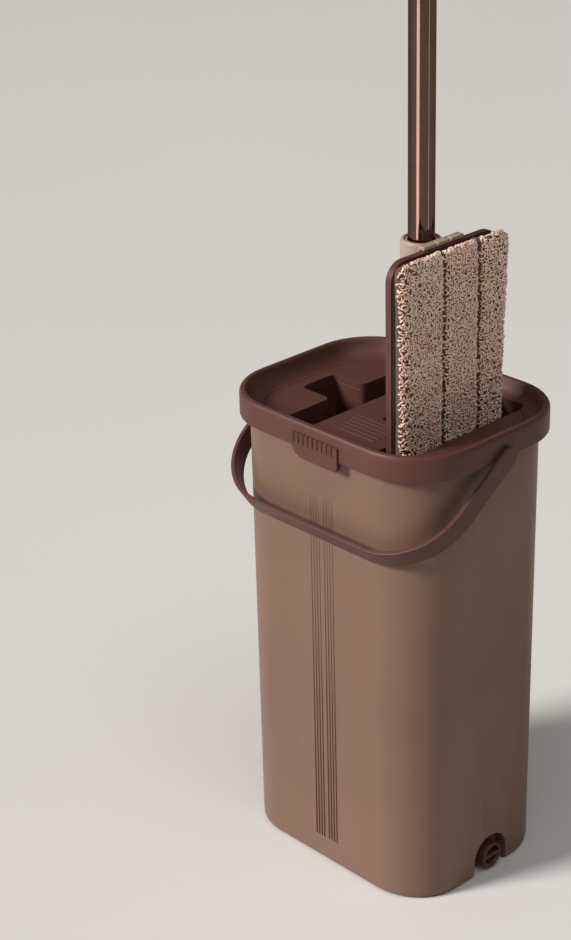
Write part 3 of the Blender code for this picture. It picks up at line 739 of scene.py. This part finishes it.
pile = bmesh.new()
for middle, normal in loop_spots():
    if draw.random() < seam_pull(middle.y) * SEAM_SKIP:
        continue
    yarn = yarn_loop.copy()
    yarn.transform(loop_stance(middle, normal))
    pile.from_mesh(yarn, face_normals=False, vertex_normals=False)
    bpy.data.meshes.remove(yarn)
for vert in pile.verts:
    vert.co = [min(max(value, low), high) for value, low, high in zip(vert.co, pad_low, pad_high)]
pile_mesh = mesh_from("pad_pile", pile)
pile_mesh.shade_smooth()
settle("pad_pile", pile_mesh, "mop_pad", replaced=False)
bpy.data.meshes.remove(yarn_loop)
print("pile faces:", len(pile_mesh.polygons))

# %% [markdown]
# ## Floor
# The set stands on a plain pale floor. One very large flat face fades away at the horizon, so no
# curved backdrop is needed. It lies a hair below the tub, so that the two faces don't flicker.

# %% Floor
FLOOR_DROP, FLOOR_HALF = 0.0002, 60.0
FLOOR_DARK, FLOOR_LIGHT = (0.70, 0.69, 0.67), (0.73, 0.72, 0.70)
studio = bmesh.new()
bmesh.ops.create_grid(studio, x_segments=1, y_segments=1, size=FLOOR_HALF)
bmesh.ops.translate(studio, vec=(0, 0, -FLOOR_DROP), verts=studio.verts)
floor_mesh = mesh_from("floor", studio)
floor = linked("floor", floor_mesh)
floor_paint, floor_shader, floor_place = start("pale_floor")
stains = noise_at(floor_place, 1.5, 2.0)
floor_tone = blend_colors(floor_place, stains, FLOOR_DARK, FLOOR_LIGHT)
feed(floor_place.tree, floor_shader.inputs["Base Color"], floor_tone)
floor_shader.inputs["Roughness"].default_value = 0.75
floor_mesh.materials.append(floor_paint)
print("floor reaches", FLOOR_HALF, "m each way")

# %% [markdown]
# ## Camera
# The view is a product view: from the front right and above, with a long lens, so that the tub's
# upright edges stay nearly parallel. The camera is placed by an aim, two angles and a distance,
# which are easier to turn than three coordinates.

# %% Camera
AZIMUTH, ELEVATION, ROLL = math.radians(47.03), math.radians(25.42), math.radians(-1.42)
DISTANCE, LENS, SENSOR = 1.6342, 85.38, 36.0
FAR = 200.0
aim = Vector((-0.0538, -0.0577, 0.3106))
away = Vector((math.sin(AZIMUTH) * math.cos(ELEVATION),
               -math.cos(AZIMUTH) * math.cos(ELEVATION), math.sin(ELEVATION)))
camera_data = bpy.data.cameras.new("camera")
camera_data.lens, camera_data.sensor_width, camera_data.clip_end = LENS, SENSOR, FAR
camera = linked("camera", camera_data)
camera.location = aim + away * DISTANCE
camera.rotation_mode = "QUATERNION"
level = away.to_track_quat("Z", "Y")
camera.rotation_quaternion = level @ Matrix.Rotation(ROLL, 4, "Z").to_quaternion()
bpy.context.scene.camera = camera
print("camera at", [round(value, 3) for value in camera.location])

# %% [markdown]
# ## Light
# A soft sun from the front left is the key: it makes the front face bright and lets the drain
# side fall into shade. A square panel overhead opens up the lid. The chrome tube mirrors what is
# round it, so two upright panels draw its bright lines. Light linking lets only the tubes see
# them, because on the floor they would show as patches.


# %% Key and top light
def lamp_at(name, kind, place, target, power, color):
    data = bpy.data.lights.new(name, kind)
    data.energy, data.color = power, color
    lamp = linked(name, data)
    lamp.location = place
    lamp.rotation_mode = "QUATERNION"
    lamp.rotation_quaternion = (Vector(place) - Vector(target)).to_track_quat("Z", "Y")
    return lamp


KEY_PLACE, KEY_SOFTNESS, KEY_POWER = (-1.1, -2.5, 1.85), math.radians(16), 4.0
TOP_PLACE, TOP_SIZE, TOP_POWER = (0.9, -0.4, 2.4), 1.4, 14
key = lamp_at("key", "SUN", KEY_PLACE, (0, 0, 0.25), KEY_POWER, (1.0, 0.97, 0.94))
key.data.angle = KEY_SOFTNESS
top = lamp_at("top", "AREA", TOP_PLACE, (0, 0, 0.4), TOP_POWER, (1.0, 1.0, 1.0))
top.data.size = TOP_SIZE
print("lamps:", [lamp.name for lamp in (key, top)])

# %% Panels for the chrome tube
TUBE_MIDDLE = (0.03, 0.0, 0.45)
polished = bpy.data.collections.new("polished")
for node in ("lower_tube", "upper_tube", "tube_foot"):
    polished.objects.link(bpy.data.objects[node + "_moulding"])


def reflector(name, place, size, power):
    """A soft upright panel that lights the polished tubes and nothing else."""
    lamp = lamp_at(name, "AREA", place, TUBE_MIDDLE, power, (1.0, 0.95, 0.92))
    lamp.data.shape = "RECTANGLE"
    lamp.data.size, lamp.data.size_y = size
    lamp.light_linking.receiver_collection = polished


reflector("front_line", (0.26, -1.20, 0.30), (0.50, 0.9), 8.0)
reflector("side_line", (1.25, 0.28, 0.30), (0.10, 0.9), 0.8)

# %% Sky
SKY_COLOR, SKY_STRENGTH = (0.72, 0.66, 0.62, 1.0), 0.24
world = bpy.data.worlds.new("studio")
world.use_nodes = True
sky = world.node_tree.nodes["Background"]
sky.inputs["Color"].default_value = SKY_COLOR
sky.inputs["Strength"].default_value = SKY_STRENGTH
bpy.context.scene.world = world
bpy.context.scene.view_settings.view_transform = "Standard"
print("sky strength", SKY_STRENGTH)
